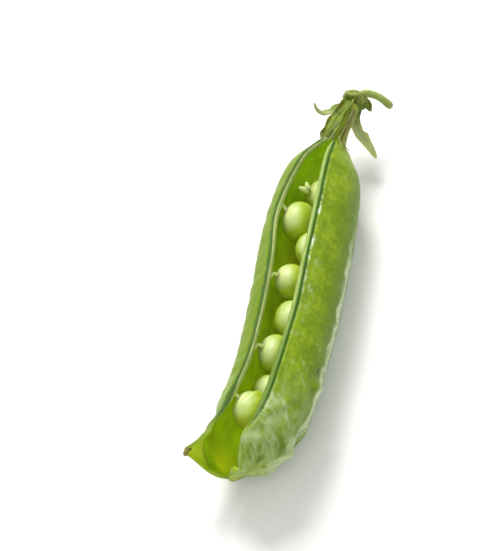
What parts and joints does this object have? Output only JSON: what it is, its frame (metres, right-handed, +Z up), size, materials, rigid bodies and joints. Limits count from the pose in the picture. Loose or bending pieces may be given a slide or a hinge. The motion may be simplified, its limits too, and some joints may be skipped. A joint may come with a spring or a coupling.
{
  "type": "garden pea pod",
  "caption": "Garden pea pod lying on its back, open along the upper seam, with peas on short stalks inside, a beak, a calyx and a cut flower stalk.",
  "frame": {"origin": "middle of the footprint, on the surface that the pod rests on", "axes": "+Z up, +X from the stem end to the beak, +Y towards the right valve seen from the stem end"},
  "size_m": [0.109, 0.0266, 0.0197],
  "materials": {
    "shell": "waxy satin green plant skin, paler at the rims",
    "pea": "satin pale yellow-green seed skin",
    "calyx": "matt green leaf",
    "flower_stalk": "matt green stalk, browned at the cut",
    "stamen": "dry tan fibre"
  },
  "bodies": {
    "root": {"pod_shell": "shell", "pea_1": "pea", "pea_2": "pea", "pea_3": "pea", "pea_4": "pea", "pea_5": "pea", "pea_6": "pea", "pea_7": "pea", "pea_8": "pea", "calyx": "calyx", "pedicel": "flower_stalk", "stamens": "stamen"}
  },
  "joints": []
}
